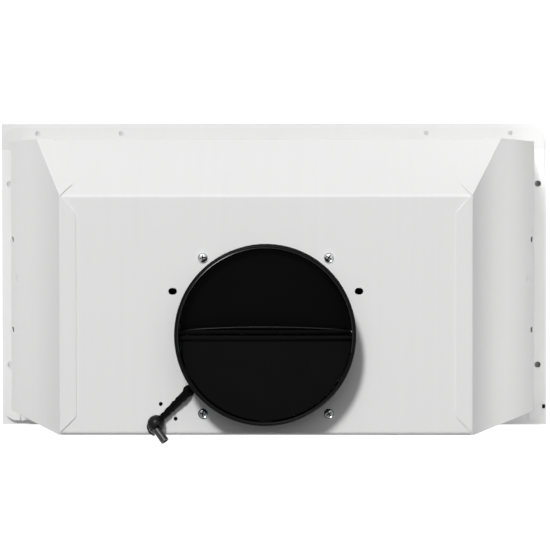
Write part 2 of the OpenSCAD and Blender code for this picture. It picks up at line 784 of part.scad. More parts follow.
// Scroll: the inner line runs down the room side of the outlet, round the wheel and up again
wheel_y = collar_y - wheel_back;
wheel_z = body_h - wheel_drop;
mouth_front = wheel_back - outlet_d / 2;
mouth_rear = wheel_back + outlet_d / 2;
tongue_a = acos(mouth_front / scroll_start_r);
scroll_steps = 30;
function scroll_at(a) =
    let (r = scroll_start_r + (mouth_rear - scroll_start_r) * (a - tongue_a) / (360 - tongue_a))
    r * [cos(a), sin(a)];
scroll_line = folded(concat([[mouth_front, scroll_top - wheel_z]],
    [for (i = [0:scroll_steps]) scroll_at(tongue_a + (360 - tongue_a) * i / scroll_steps)],
    [[mouth_rear, scroll_top - wheel_z]]),
    concat([4], [for (i = [1:scroll_steps]) 1]), 1);
seam_w = 3;
module scroll_band() {
    color("lightgray") translate([0, wheel_y, wheel_z])
        along_x(scroll_w) polygon(strip(scroll_line, -scroll_wall));
}
module scroll_side() {
    outer = shifted(scroll_line, -scroll_wall - seam_w);
    lid = [[outer[0][0], scroll_top - wheel_z], for (i = [1:len(outer) - 2]) outer[i],
           [outer[len(outer) - 1][0], scroll_top - wheel_z]];
    translate([0, wheel_y, wheel_z]) difference() {
        union() {
            translate([(scroll_w + scroll_wall) / 2, 0, 0]) along_x(scroll_wall) polygon(lid);
            translate([scroll_w / 2 - inlet_lip, 0, 0]) rotate([0, 90, 0])
                cylinder(h = inlet_lip + scroll_wall, r = inlet_r + scroll_wall);
        }
        translate([scroll_w / 2 - inlet_lip - cut, 0, 0]) rotate([0, 90, 0])
            cylinder(h = inlet_lip + scroll_wall + 2 * cut, r = inlet_r);
    }
}
inlet_lip = 4.5;
module scroll_side_right() {
    color("lightgray") scroll_side();
}
module scroll_side_left() {
    color("lightgray") mirror([1, 0, 0]) scroll_side();
}

// Blower wheel: forward-curved blades between end rings, notched inside for the web of its hub
wheel_in = wheel_r - blade_depth;
web_seat = 3;
web_t = 2;
hub_r = 12;
hub_l = 18;
ring_t = 1.5;
motor_gap = 6;
motor_past = 5;
motor_x = scroll_w / 2 + motor_past - motor_l;
web_x = motor_x - motor_gap - web_t;
shaft_past = 2;
shaft_short = 6;
module at_wheel() {
    translate([0, wheel_y, wheel_z]) rotate([90, 0, 90]) children();
}
module blower_wheel() {
    color("silver") at_wheel() difference() {
        union() {
            for (z = [-wheel_w / 2, wheel_w / 2 - ring_t]) translate([0, 0, z]) difference() {
                cylinder(h = ring_t, r = wheel_r);
                translate([0, 0, -cut]) cylinder(h = ring_t + 2 * cut, r = wheel_in);
            }
            translate([0, 0, ring_t / 2 - wheel_w / 2]) linear_extrude(wheel_w - ring_t)
                for (i = [0:blade_count - 1]) rotate(i * 360 / blade_count) blade();
        }
        translate([0, 0, web_x - play]) cylinder(h = web_t + 2 * play, r = wheel_in + web_seat + play);
    }
}
// Hub of the wheel: a web disc let into the blades, and a long boss bored for the shaft
module wheel_hub() {
    color("silver") at_wheel() difference() {
        union() {
            translate([0, 0, web_x]) cylinder(h = web_t, r = wheel_in + web_seat);
            translate([0, 0, web_x - hub_l]) cylinder(h = hub_l + web_t / 2, r = hub_r, $fn = 48);
        }
        translate([0, 0, -wheel_w]) cylinder(h = 2 * wheel_w, r = shaft_r + play / 2, $fn = 48);
    }
}
// Outline of one blade: a short arc from the inner to the outer edge of the wheel
module blade() {
    start = [wheel_in + blade_t, 0];
    stop = [wheel_r - blade_t, blade_depth * 0.45];
    mid = (start + stop) / 2 + left_of(unit(stop - start)) * -blade_depth * 0.16;
    line = [start, (start + mid) / 2 + [0, -0.5], mid, (mid + stop) / 2 + [0.4, -0.4], stop];
    polygon(strip(line, blade_t));
}
module rotor_shaft() {
    shaft_low = web_x - hub_l - shaft_past;
    color("gray") at_wheel() translate([0, 0, shaft_low])
        cylinder(h = motor_x + motor_l - shaft_short - shaft_low, r = shaft_r, $fn = 48);
}

// Motor: drawn steel can with cooling slots round its open end
end_cap_l = 10;
end_cap_in = 2;
end_wall = 4;
nose_r = 9;
nose_l = 3;
vent = [14, 4, 8];
vent_in = 12;
vent_count = 12;
module motor() {
    color("dimgray") at_wheel() difference() {
        union() {
            translate([0, 0, motor_x]) cylinder(h = motor_l, r = motor_r - end_cap_in);
            translate([0, 0, motor_x + end_cap_l]) cylinder(h = motor_l - 2 * end_cap_l, r = motor_r);
            translate([0, 0, motor_x - nose_l]) cylinder(h = nose_l + cut, r = nose_r, $fn = 48);
        }
        translate([0, 0, motor_x - nose_l - cut])
            cylinder(h = motor_l - end_wall + nose_l + cut, r = shaft_r + play, $fn = 48);
        for (i = [0:vent_count - 1]) rotate([0, 0, i * 360 / vent_count])
            translate([motor_r - vent_in, 0, motor_x]) cube(vent, center = true);
    }
}
arm_t = 2;
arm_w = 12;
arm_foot = 10;
arm_lap = 6;
arm_hole_r = 2;
arm_hole_out = 1;
plate_in = 12;
inlet_room = 5;
module motor_bracket() {
    side_x = scroll_w / 2 + scroll_wall;
    end_x = motor_x + motor_l;
    foot_in = inlet_r + inlet_room;
    arm_in = motor_r - plate_in - arm_lap;
    color("silver") at_wheel() {
        translate([0, 0, end_x]) cylinder(h = arm_t, r = motor_r - plate_in);
        for (a = [90, 210, 330]) rotate([0, 0, a]) {
            translate([arm_in, -arm_w / 2, end_x]) cube([foot_in - arm_in + arm_t, arm_w, arm_t]);
            translate([foot_in, -arm_w / 2, side_x]) cube([arm_t, arm_w, end_x - side_x + arm_t]);
            difference() {
                translate([foot_in, -arm_w / 2, side_x]) cube([arm_foot, arm_w, arm_t]);
                translate([foot_in + arm_foot / 2 + arm_hole_out, 0, side_x - cut])
                    cylinder(h = arm_t + 2 * cut, r = arm_hole_r, $fn = 24);
            }
        }
    }
}

// Run capacitor strapped to the inside of the rear panel
cap_r = 15;
cap_l = 55;
cap_x = -130;
cap_z = 255;
cap_end_t = 3;
cap_end_in = 3;
tab = [6.3, 0.8, 10];
tab_off = 6;
strap_t = 1.5;
strap_w = 14;
strap_ear = 12;
strap_hole_out = 7;
strap_hole_r = 1.7;
module at_capacitor() {
    translate([cap_x, rear_in - cap_r - strap_t - 2 * play, cap_z]) rotate([0, 90, 0]) children();
}
module capacitor() {
    color("whitesmoke") at_capacitor() {
        cylinder(h = cap_l, r = cap_r, center = true);
        translate([0, 0, cap_l / 2]) cylinder(h = cap_end_t, r = cap_r - cap_end_in);
        for (s = [-1, 1]) translate([0, s * tab_off, (cap_l + tab[2]) / 2]) cube(tab, center = true);
    }
}
module capacitor_clip() {
    color("silver") at_capacitor() difference() {
        union() {
            cylinder(h = strap_w, r = cap_r + strap_t + play, center = true);
            translate([0, cap_r + play + strap_t / 2 + play / 2, 0])
                cube([2 * (cap_r + strap_ear), strap_t, strap_w], center = true);
        }
        cylinder(h = strap_w + 2 * cut, r = cap_r + play, center = true);
        for (s = [-1, 1]) translate([s * (cap_r + strap_hole_out), cap_r, 0]) rotate([90, 0, 0])
            cylinder(h = 4 * (strap_t + cut), r = strap_hole_r, center = true, $fn = 24);
    }
}

// Terminal box, open below, and its cover
cover_rim_h = 6;
module terminal_box() {
    color([0.2, 0.2, 0.2]) difference() {
        translate([box_x, box_y, box_z]) cube([box_w, box_d, box_h]);
        translate([box_x + box_wall, box_y + box_wall, box_z - cut])
            cube([box_w - 2 * box_wall, box_d - 2 * box_wall, box_h - box_wall + cut]);
        lead_hole(lead_points[0], lead_points[1], lead_r + clear);
        lead_hole(motor_lead_points[0], motor_lead_points[1], wire_r + clear);
        lead_hole(control_lead_points[0], control_lead_points[1], wire_r + clear);
    }
}
module terminal_cover() {
    color([0.25, 0.25, 0.25]) {
        translate([box_x, box_y, box_z - box_wall]) cube([box_w, box_d, box_wall]);
        translate([box_x + box_wall + clear, box_y + box_wall + clear, box_z - box_wall])
            difference() {
                cube([box_w - 2 * box_wall - 2 * clear, box_d - 2 * box_wall - 2 * clear, cover_rim_h]);
                translate([box_wall, box_wall, -cut])
                    cube([box_w - 4 * box_wall - 2 * clear, box_d - 4 * box_wall - 2 * clear,
                          cover_rim_h + 2 * cut]);
            }
    }
}

// Leads inside the box, clipped along their way
wire_r = 2.8;
wire_gap = 5;
wire_bend = 12;
wire_end_in = 4;
motor_lead_low = 6;
motor_lead_y = wheel_y + motor_r - motor_lead_low;
motor_lead_in = 28;
motor_lead_points = [[box_x + motor_lead_in, box_y + wire_end_in, lead_in_z],
                     [box_x + motor_lead_in, motor_lead_y, lead_in_z],
                     [box_x + motor_lead_in, motor_lead_y, wheel_z],
                     [motor_x + motor_l, motor_lead_y, wheel_z]];
motor_lead_bends = [wire_bend, wire_bend];
module motor_lead() {
    color([0.15, 0.15, 0.15]) lead_tube(route(motor_lead_points, motor_lead_bends), wire_r, 8);
}
housing_h = 26;
lead_over = 8;
lead_low_z = panel_t + housing_h + lead_over;
control_lead_back = 20;
control_lead_y = box_y + control_lead_back;
function beside_wall(z) = half_at(z) - sheet_t - panel_t - wire_r - wire_gap / 2;
control_lead_points = [[box_x + box_w - wire_end_in, control_lead_y, lead_in_z],
                       [beside_wall(lead_in_z), control_lead_y, lead_in_z],
                       [beside_wall(side_fold_h), control_lead_y, side_fold_h],
                       [beside_wall(side_fold_h), control_lead_y, lead_low_z],
                       [beside_wall(side_fold_h), lamp_y, lead_low_z],
                       [button_xs[4], lamp_y, lead_low_z],
                       [button_xs[4], lamp_y, panel_t + housing_h]];
control_lead_bends = [wire_bend, wire_bend, wire_bend, wire_bend, wire_bend / 2];
module control_lead() {
    color([0.15, 0.15, 0.15]) lead_tube(route(control_lead_points, control_lead_bends), wire_r, 8);
}

// Grease filter: a channel frame round a pleated mesh pack, with a moulded finger pull
channel_t = 0.8;
peg_past = 0.6;
mesh_t = 1.6;
pull_w = 60;
pull_d = 24;
pull_wall = 1.5;
pull_bar = [6, 2];
module filter_frame() {
    color("silver") translate([0, filter_y, filter_z]) {
        difference() {
            translate([-filter_w / 2, -filter_d / 2, 0]) cube([filter_w, filter_d, filter_h]);
            translate([0, 0, filter_h / 2])
                cube([filter_w - 2 * channel_t, filter_d - 2 * channel_t, filter_h - 2 * channel_t],
                     center = true);
            translate([0, 0, filter_h / 2])
                cube([filter_w - 2 * filter_rim, filter_d - 2 * filter_rim, filter_h + 2 * cut],
                     center = true);
            translate([0, -filter_d / 2 + pull_d / 2 + filter_rim / 2, filter_h / 2])
                cube([pull_w, pull_d, filter_h + 2 * cut], center = true);
        }
        for (s = [-1, 1]) translate([s * filter_w / 2, peg_y - filter_y, peg_z - filter_z])
            rotate([0, s * 90, 0]) translate([0, 0, -channel_t / 2])
                cylinder(h = filter_gap + panel_t + peg_past + channel_t / 2, r = peg_r, $fn = 48);
    }
}
// Pleated pack: a zigzag line drawn out from front to rear, cut away for the pull
module filter_mesh() {
    w = filter_w - 2 * channel_t - 2 * clear;
    d = filter_d - 2 * channel_t - 2 * clear;
    h = filter_h - 2 * channel_t - 2 * clear;
    pitch = w / pleat_count;
    low = [for (i = [0:2 * pleat_count]) [i * pitch / 2 - w / 2, i % 2 == 0 ? 0 : h - mesh_t]];
    high = [for (p = low) p + [0, mesh_t]];
    color("silver") translate([0, filter_y, filter_z + channel_t + clear]) difference() {
        along_y(d) polygon(concat(low, reversed(high)));
        translate([0, -filter_d / 2 + pull_d / 2 + filter_rim / 2, h / 2])
            cube([pull_w + 2 * clear, pull_d + 2 * clear, h + 2 * cut], center = true);
    }
}
// Finger pull: a shallow cup open below, with a bar to hook a finger behind
module filter_pull() {
    w = pull_w - 2 * play;
    d = pull_d - 2 * play;
    color([0.16, 0.16, 0.17])
        translate([0, filter_y - filter_d / 2 + pull_d / 2 + filter_rim / 2, filter_z]) {
            difference() {
                translate([-w / 2, -d / 2, 0]) cube([w, d, filter_h]);
                translate([-w / 2 + pull_wall, -d / 2 + pull_wall, -cut])
                    cube([w - 2 * pull_wall, d - 2 * pull_wall, filter_h - pull_wall + cut]);
            }
            translate([-w / 2 + pull_wall / 2, -d / 2 + pull_wall / 2, 0])
                cube([w - pull_wall, pull_bar[0], pull_bar[1]]);
        }
}
module filter_frame_left() {
    translate([-hatch_x, 0, 0]) filter_frame();
}
module filter_frame_right() {
    translate([hatch_x, 0, 0]) filter_frame();
}
module filter_mesh_left() {
    translate([-hatch_x, 0, 0]) filter_mesh();
}
module filter_mesh_right() {
    translate([hatch_x, 0, 0]) filter_mesh();
}
module filter_pull_left() {
    translate([-hatch_x, 0, 0]) filter_pull();
}
module filter_pull_right() {
    translate([hatch_x, 0, 0]) filter_pull();
}
// Spring clips astride the front upstand that hold the filters up
clip_t = 0.4;
clip_w = 18;
clip_down = [4, 5];
module filter_clips() {
    front = hatch_rear - hatch_d;
    out = clip_t + play;
    line = [[strip_rear - out, hatch_rim_h - clip_down[0]], [strip_rear - out, hatch_rim_h + out],
            [front + out, hatch_rim_h + out], [front + out, hatch_rim_h - clip_down[1]]];
    color("silver") for (s = [-1, 1], t = [-1, 1])
        translate([s * hatch_x + t * filter_w / 4, 0, 0]) along_x(clip_w) polygon(strip(line, -clip_t));
}

// Lamps: a can on the bottom panel and a frosted lens in its opening
can_wall = 1.5;
can_rim_w = 2.5;
can_rim_t = 2;
lens_t = 2;
lens_lip = [1.8, 3];
module lamp_housing(s) {
    color([0.85, 0.85, 0.85]) translate([s * lamp_x, lamp_y, panel_t]) difference() {
        union() {
            cylinder(h = can_rim_t, r = lamp_r + can_rim_w);
            cylinder(h = lamp_h, r = lamp_r + can_wall);
        }
        translate([0, 0, -cut]) cylinder(h = lamp_h - can_wall + cut, r = lamp_r);
    }
}
module lamp_lens(s) {
    color([0.95, 0.95, 0.92]) translate([s * lamp_x, lamp_y, clear])
        rotate_extrude() {
            square([lamp_r - clear, lens_t]);
            translate([lamp_r - clear - lens_lip[0], lens_t]) square(lens_lip);
        }
}
module lamp_housing_left() {
    lamp_housing(-1);
}
module lamp_housing_right() {
    lamp_housing(1);
}
module lamp_lens_left() {
    lamp_lens(-1);
}
module lamp_lens_right() {
    lamp_lens(1);
}

// Switch block on the bottom panel, and its five push buttons
housing_side = 7;
housing_end = 11;
housing_w = 4 * button_pitch + button_w + 2 * housing_side;
housing_d = button_d + 2 * housing_end;
stem = 6;
button_edge = 1.6;
button_step_t = 1.5;
button_low_z = panel_t + clear;
spring_room = 6.7;
guide_z = button_low_z + button_step_t + button_travel + spring_room;
guide_t = 3;
stem_past = 2;
stem_h = guide_z + guide_t + stem_past - button_low_z;
module control_housing() {
    color([0.12, 0.12, 0.12]) difference() {
        translate([-housing_w / 2, lamp_y - housing_d / 2, panel_t])
            cube([housing_w, housing_d, housing_h]);
        difference() {
            translate([box_wall - housing_w / 2, lamp_y - housing_d / 2 + box_wall, panel_t - cut])
                cube([housing_w - 2 * box_wall, housing_d - 2 * box_wall, housing_h - box_wall + cut]);
            translate([-housing_w / 2, lamp_y - housing_d / 2, guide_z])
                cube([housing_w, housing_d, guide_t]);
        }
        for (x = button_xs) translate([x, lamp_y, guide_z + guide_t / 2])
            cube([stem + 2 * clear, stem + 2 * clear, guide_t + 2 * cut], center = true);
    }
}
module button(i) {
    color([0.2, 0.2, 0.21]) translate([button_xs[i], lamp_y, 0]) {
        translate([-button_w / 2, -button_d / 2, clear]) cube([button_w, button_d, button_low_z]);
        translate([-button_w / 2 - button_edge, -button_d / 2 - button_edge, button_low_z])
            cube([button_w + 2 * button_edge, button_d + 2 * button_edge, button_step_t]);
        translate([-stem / 2, -stem / 2, button_low_z]) cube([stem, stem, stem_h]);
    }
}
module button_off() {
    button(0);
}
module button_low() {
    button(1);
}
module button_medium() {
    button(2);
}
module button_high() {
    button(3);
}
module button_lamp() {
    button(4);
}

// Supply lead with its elbow boot and domed cord grip
boot_stem_r = 4.9;
boot_sleeve = 16;
boot_wall = 0.6;
grip_stem_r = 4.5;
grip_nut_w = 0.8;
grip_nut_t = 3.5;
grip_open = 1.2;
hook_at = [-0.8, 2.2, 1.2];
hook_turn = -10;
hook_sweep = 85;
hook_r = 7.4;
hook_size = [1.2, 1.6];
module supply_lead() {
    color([0.1, 0.1, 0.1]) lead_tube(route(lead_points, lead_bends), lead_r, 12);
}
module lead_boot() {
    hole_r = lead_r + clear + play;
    color([0.05, 0.05, 0.05]) difference() {
        union() {
            translate([boot_at[0], boot_at[1], flange_z]) cylinder(h = body_h - flange_z, r = boot_stem_r);
            translate([boot_at[0], boot_at[1], body_h]) domed_post(boot_r, lead_rise);
            translate([boot_at[0], boot_at[1], lead_top]) rotate([0, 90, 45])
                cylinder(h = boot_sleeve, r1 = boot_r, r2 = hole_r + boot_wall);
        }
        lead_hole([boot_at[0], boot_at[1], flange_z - cut], lead_points[2], hole_r);
        lead_hole(lead_points[2], lead_points[3], hole_r);
        translate(lead_points[2]) sphere(hole_r + play);
    }
}
module cord_grip() {
    hole_r = lead_r + clear + play;
    color([0.08, 0.08, 0.08]) difference() {
        translate([grip_at[0], grip_at[1], 0]) {
            translate([0, 0, under_top - grip_nut_t])
                cylinder(h = sheet_t + grip_nut_t, r = grip_stem_r);
            translate([0, 0, body_h]) domed_post(grip_r, lead_rise);
            translate([0, 0, under_top - grip_nut_t]) cylinder(h = grip_nut_t, r = grip_stem_r + grip_nut_w);
            translate(hook_at + [0, 0, body_h]) rotate([0, 0, hook_turn]) rotate_extrude(angle = hook_sweep)
                translate([hook_r, 0]) square(hook_size);
        }
        translate([tail_at[0], tail_at[1], lead_top]) rotate([0, 0, tail_turn])
            translate([grip_open, -2 * grip_r, 0]) cube([2 * grip_r, 2 * grip_r + hole_r, 2 * grip_r]);
        lead_hole(lead_points[2], lead_points[3], hole_r);
        lead_hole(lead_points[3], tail_end, hole_r);
        translate(lead_points[3]) sphere(hole_r + play);
    }
}

front_top_sheet();
side_panel_left();
side_panel_right();
rear_panel();
bottom_panel();
duct_collar();
damper_flap_front();
damper_flap_rear();
damper_pins();
collar_screws();
blower_flange();
outlet_funnel();
scroll_band();
scroll_side_left();
scroll_side_right();
blower_wheel();
wheel_hub();
rotor_shaft();
motor();
motor_bracket();
capacitor();
capacitor_clip();
terminal_box();
terminal_cover();
motor_lead();
control_lead();
filter_frame_left();
filter_frame_right();
filter_mesh_left();
filter_mesh_right();
filter_pull_left();
filter_pull_right();
filter_clips();
lamp_housing_left();
lamp_housing_right();
lamp_lens_left();
lamp_lens_right();
control_housing();
button_off();
button_low();
button_medium();
button_high();
button_lamp();
supply_lead();
lead_boot();
cord_grip();
panel_screws();
edge_plug();
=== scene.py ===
"""Built-in canopy hood: its packed construction, dressed in paint, plastic, zinc and rubber."""
import json
import math

import bpy
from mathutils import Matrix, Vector


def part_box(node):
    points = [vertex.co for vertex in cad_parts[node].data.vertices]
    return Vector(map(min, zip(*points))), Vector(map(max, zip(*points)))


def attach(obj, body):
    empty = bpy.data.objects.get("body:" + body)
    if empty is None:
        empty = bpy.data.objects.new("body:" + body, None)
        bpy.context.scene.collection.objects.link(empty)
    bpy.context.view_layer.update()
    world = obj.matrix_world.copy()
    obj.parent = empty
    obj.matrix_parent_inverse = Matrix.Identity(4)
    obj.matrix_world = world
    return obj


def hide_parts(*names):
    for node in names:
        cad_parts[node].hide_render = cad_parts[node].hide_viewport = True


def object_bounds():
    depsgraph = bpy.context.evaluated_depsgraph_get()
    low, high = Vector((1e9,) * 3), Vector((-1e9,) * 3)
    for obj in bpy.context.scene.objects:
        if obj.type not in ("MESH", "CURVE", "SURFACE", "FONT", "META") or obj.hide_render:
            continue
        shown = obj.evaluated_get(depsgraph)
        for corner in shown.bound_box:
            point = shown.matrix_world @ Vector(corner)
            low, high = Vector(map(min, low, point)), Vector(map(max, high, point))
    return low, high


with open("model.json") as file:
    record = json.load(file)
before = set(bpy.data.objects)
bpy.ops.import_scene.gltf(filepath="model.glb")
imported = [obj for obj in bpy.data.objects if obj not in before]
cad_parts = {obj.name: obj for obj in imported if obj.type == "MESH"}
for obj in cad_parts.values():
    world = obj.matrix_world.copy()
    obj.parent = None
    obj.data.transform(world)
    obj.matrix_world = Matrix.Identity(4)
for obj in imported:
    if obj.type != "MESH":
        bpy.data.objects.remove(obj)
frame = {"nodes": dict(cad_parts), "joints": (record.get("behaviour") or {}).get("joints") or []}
cad_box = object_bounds()


# Camera
# It hangs almost straight above the hood with a long lens, turned so that the wall side is
# at the bottom of the picture.
camera_place = (-0.0513, -0.0747, 2.7897)
camera_turn = (-1.551, 1.030, 179.949)
film_width = 36
long_lens = 189.44
bpy.ops.object.camera_add(location=camera_place, rotation=[math.radians(a) for a in camera_turn])
camera = bpy.context.object
camera.name = "camera"
camera.data.sensor_width = film_width
camera.data.lens = long_lens
bpy.context.scene.camera = camera
bpy.context.scene.view_settings.view_transform = "Standard"


# Floor
# A wide pale board under the hood. It looks white to the camera and still takes the hood's
# shadow. Under the foot flange along the +X side and the front it has a weaker glow, which is
# painted light showing through the holes in the foot.
floor_size = 14
floor_drop = 0.0004
floor_grey = 0.3
floor_rough = 0.9
floor_gloss = 0.1
floor_glow = 0.97
hood_edge = (0.0010, 0.0005)
foot_inside = (0.2457, 0.1262)
painted_light_in_holes = 0.6


def new_finish(name):
    finish = bpy.data.materials.new(name)
    finish.use_nodes = True
    return finish, finish.node_tree, finish.node_tree.nodes["Principled BSDF"]


def maths(tree, operation, first, second):
    step = tree.nodes.new("ShaderNodeMath")
    step.operation = operation
    for socket, given in zip(step.inputs, (first, second)):
        if isinstance(given, float):
            socket.default_value = given
        else:
            tree.links.new(given, socket)
    return step.outputs[0]


def place_on_axes(tree):
    where = tree.nodes.new("ShaderNodeTexCoord")
    axes = tree.nodes.new("ShaderNodeSeparateXYZ")
    tree.links.new(where.outputs["Object"], axes.inputs["Vector"])
    return axes.outputs


def seen_directly(tree):
    path = tree.nodes.new("ShaderNodeLightPath").outputs
    mirrored = maths(tree, "MAXIMUM", path["Is Camera Ray"], path["Is Glossy Ray"])
    return maths(tree, "MAXIMUM", mirrored, path["Is Transmission Ray"])


bpy.ops.mesh.primitive_plane_add(size=floor_size, location=(0, 0, -floor_drop))
floor = bpy.context.object
floor.name = "floor"
floor_white, tree, board = new_finish("floor_white")
board.inputs["Base Color"].default_value = (floor_grey, floor_grey, floor_grey, 1)
board.inputs["Roughness"].default_value = floor_rough
board.inputs["Specular IOR Level"].default_value = floor_gloss
board.inputs["Emission Color"].default_value = (1, 1, 1, 1)
spot = place_on_axes(tree)
past = [maths(tree, "GREATER_THAN", maths(tree, "ABSOLUTE", spot[i], 0.0), cad_box[1][i] - edge)
        for i, edge in enumerate(hood_edge)]
open_floor = maths(tree, "MAXIMUM", past[0], past[1])
# Painted light: under the foot along the +X side and the front, the floor glows at a lower level.
by_side = maths(tree, "GREATER_THAN", spot["X"], foot_inside[0])
by_front = maths(tree, "LESS_THAN", spot["Y"], -foot_inside[1])
painted_light_under_foot = maths(tree, "MULTIPLY", maths(tree, "MAXIMUM", by_side, by_front), painted_light_in_holes)
shown = maths(tree, "MAXIMUM", open_floor, painted_light_under_foot)
lit = maths(tree, "MULTIPLY", seen_directly(tree), shown)
tree.links.new(maths(tree, "MULTIPLY", lit, floor_glow), board.inputs["Emission Strength"])
floor.data.materials.append(floor_white)


# Studio light
# One key lamp from the room side with a wide soft lamp round it, and a low one behind that
# only glints on the rim. A large box hangs overhead, strip boxes stand beside and behind the
# hood, and the surround is dim and even.
surround_level = 0.06
surround = bpy.data.worlds.new("surround")
bpy.context.scene.world = surround
surround.use_nodes = True
tree = surround.node_tree
sky = tree.nodes["Background"]
sky.inputs["Color"].default_value = (1, 1, 1, 1)
level = tree.nodes.new("ShaderNodeMapRange")
level.inputs["To Min"].default_value = surround_level
level.inputs["To Max"].default_value = 1.0
tree.links.new(seen_directly(tree), level.inputs["Value"])
tree.links.new(level.outputs["Result"], sky.inputs["Strength"])

far_off = 3
far_lamps = {
    "key": ((0.197, -0.60, 0.775), 2.42, 9),
    "front": ((-0.06, -0.53, 0.85), 0.42, 76),
    "glint": ((-0.49, 0.85, 0.20), 4.5, 20),
}
for name, (towards, strength, spread) in far_lamps.items():
    bpy.ops.object.light_add(type="SUN", location=Vector(towards) * far_off)
    lamp = bpy.context.object
    lamp.name = "lamp_" + name
    lamp.rotation_euler = Vector(towards).to_track_quat("Z", "Y").to_euler()
    lamp.data.energy = strength
    lamp.data.angle = math.radians(spread)
    lamp.visible_diffuse = name != "glint"

soft_boxes = {
    "overhead": ((-0.06, -0.45, 1.10), (-31, 0), (1.2, 1.2), 180, 1.88),
    "rear": ((0, 0.62, 0.10), (90, 0), (1.0, 0.12), 180, 0.85),
    "right_side": ((0.52, -0.14, 0.24), (0, 90), (0.06, 0.80), 180, 0.58),
    "left_side": ((-0.42, 0, 0.33), (0, -40), (0.06, 0.80), 180, 0.79),
    "left_foot": ((-0.283, 0, 0.14), (0, 0), (0.03, 0.50), 50, 0.037),
}
for name, (place, (nod, tip), size, opening, power) in soft_boxes.items():
    bpy.ops.object.light_add(type="AREA", location=place)
    lamp = bpy.context.object
    lamp.name = "lamp_" + name
    lamp.rotation_euler = (math.radians(-nod), math.radians(tip), 0)
    lamp.data.shape = "RECTANGLE"
    lamp.data.size, lamp.data.size_y = size
    lamp.data.spread = math.radians(opening)
    lamp.data.energy = power
    lamp.visible_camera = False


# Painted box
# The front and top are one folded steel sheet, and the sides and back are three more, all
# powder coated satin white, with a fine orange peel and faint streaks down the sheet. Below
# the foot flange's top the colour is painted darker as painted shade, most of all along the front.
coat_rough = 0.6
coat_gloss = 0.25
streak_stretch = (160, 3, 3)
tone_span = (0.3, 0.7)
peel_scale = 900
peel_depth = 0.00004
peel_strength = 0.12
foot_top = 0.0055
foot_front = -0.120
painted_foot_shade = 0.90
painted_front_foot_shade = 0.89
nodes = frame["nodes"]


def speckle(tree, scale, detail, stretch=(1, 1, 1)):
    where = tree.nodes.new("ShaderNodeTexCoord")
    drawn_out = tree.nodes.new("ShaderNodeMapping")
    drawn_out.inputs["Scale"].default_value = stretch
    tree.links.new(where.outputs["Object"], drawn_out.inputs["Vector"])
    cloud = tree.nodes.new("ShaderNodeTexNoise")
    cloud.inputs["Scale"].default_value = scale
    cloud.inputs["Detail"].default_value = detail
    tree.links.new(drawn_out.outputs["Vector"], cloud.inputs["Vector"])
    return cloud.outputs["Fac"]


def tint_between(tree, value, span, dark, light):
    ramp = tree.nodes.new("ShaderNodeValToRGB")
    for stop, position, colour in zip(ramp.color_ramp.elements, span, (dark, light)):
        stop.position = position
        stop.color = (*colour, 1)
    tree.links.new(value, ramp.inputs["Fac"])
    return ramp.outputs["Color"]


def raise_grain(tree, value, shader, depth, strength):
    bump = tree.nodes.new("ShaderNodeBump")
    bump.inputs["Distance"].default_value = depth
    bump.inputs["Strength"].default_value = strength
    tree.links.new(value, bump.inputs["Height"])
    tree.links.new(bump.outputs["Normal"], shader.inputs["Normal"])


def powder_coat(name, dark, light):
    coat, tree, shader = new_finish(name)
    shader.inputs["Roughness"].default_value = coat_rough
    shader.inputs["Specular IOR Level"].default_value = coat_gloss
    streaks = speckle(tree, scale=1, detail=3, stretch=streak_stretch)
    colour = tint_between(tree, streaks, tone_span, dark, light)
    spot = place_on_axes(tree)
    # Painted shade: the colour is multiplied darker below the foot's top, and again along the
    # front.
    on_foot = maths(tree, "LESS_THAN", spot["Z"], foot_top)
    in_front = maths(tree, "LESS_THAN", spot["Y"], foot_front)
    on_front_foot = maths(tree, "MULTIPLY", on_foot, in_front)
    for mask, shade in ((on_foot, painted_foot_shade), (on_front_foot, painted_front_foot_shade)):
        painted_shade_mix = tree.nodes.new("ShaderNodeMix")
        painted_shade_mix.data_type = "RGBA"
        painted_shade_mix.blend_type = "MULTIPLY"
        painted_shade_mix.inputs["B"].default_value = (shade, shade, shade, 1)
        tree.links.new(mask, painted_shade_mix.inputs["Factor"])
        tree.links.new(colour, painted_shade_mix.inputs["A"])
        colour = painted_shade_mix.outputs["Result"]
    tree.links.new(colour, shader.inputs["Base Color"])
    peel = speckle(tree, scale=peel_scale, detail=2)
    raise_grain(tree, peel, shader, peel_depth, peel_strength)
    return coat


def dress(material, *names):
    for name in names:
        skin = nodes[name].data.materials
        skin.clear()
        skin.append(material)


white_coat = powder_coat("white_coat", (0.774, 0.774, 0.771), (0.784, 0.784, 0.781))
dress(white_coat, "front_top_sheet", "side_panel_left", "side_panel_right", "rear_panel")


# Corner seams
# Where the front foot meets the side feet, the gap between the sheets is filled with a thin
# bead of sealer and painted over with the rest.
seam_at = 0.24455
seam_ends = (-0.1405, -0.1262)
seam_z = 0.00468
seam_r = 0.00042
seam_tip = 0.6
seam_parts = 8
smooth_below = math.radians(35)


def only(piece):
    bpy.ops.object.select_all(action="DESELECT")
    piece.select_set(True)
    bpy.context.view_layer.objects.active = piece


def settle(piece, body, material):
    only(piece)
    bpy.ops.object.transform_apply(location=True, rotation=True, scale=True)
    bpy.ops.object.shade_smooth_by_angle(angle=smooth_below)
    piece.data.materials.clear()
    piece.data.materials.append(material)
    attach(piece, body)


def tube_along(name, points, radii, roundness=6):
    route = bpy.data.curves.new(name, "CURVE")
    route.dimensions = "3D"
    route.bevel_depth = 1.0
    route.bevel_resolution = roundness
    route.use_fill_caps = True
    line = route.splines.new("POLY")
    line.points.add(len(points) - 1)
    for point, place, r in zip(line.points, points, radii):
        point.co = (*place, 1)
        point.radius = r
    piece = bpy.data.objects.new(name, route)
    bpy.context.collection.objects.link(piece)
    only(piece)
    bpy.ops.object.convert(target="MESH")
    return bpy.context.object


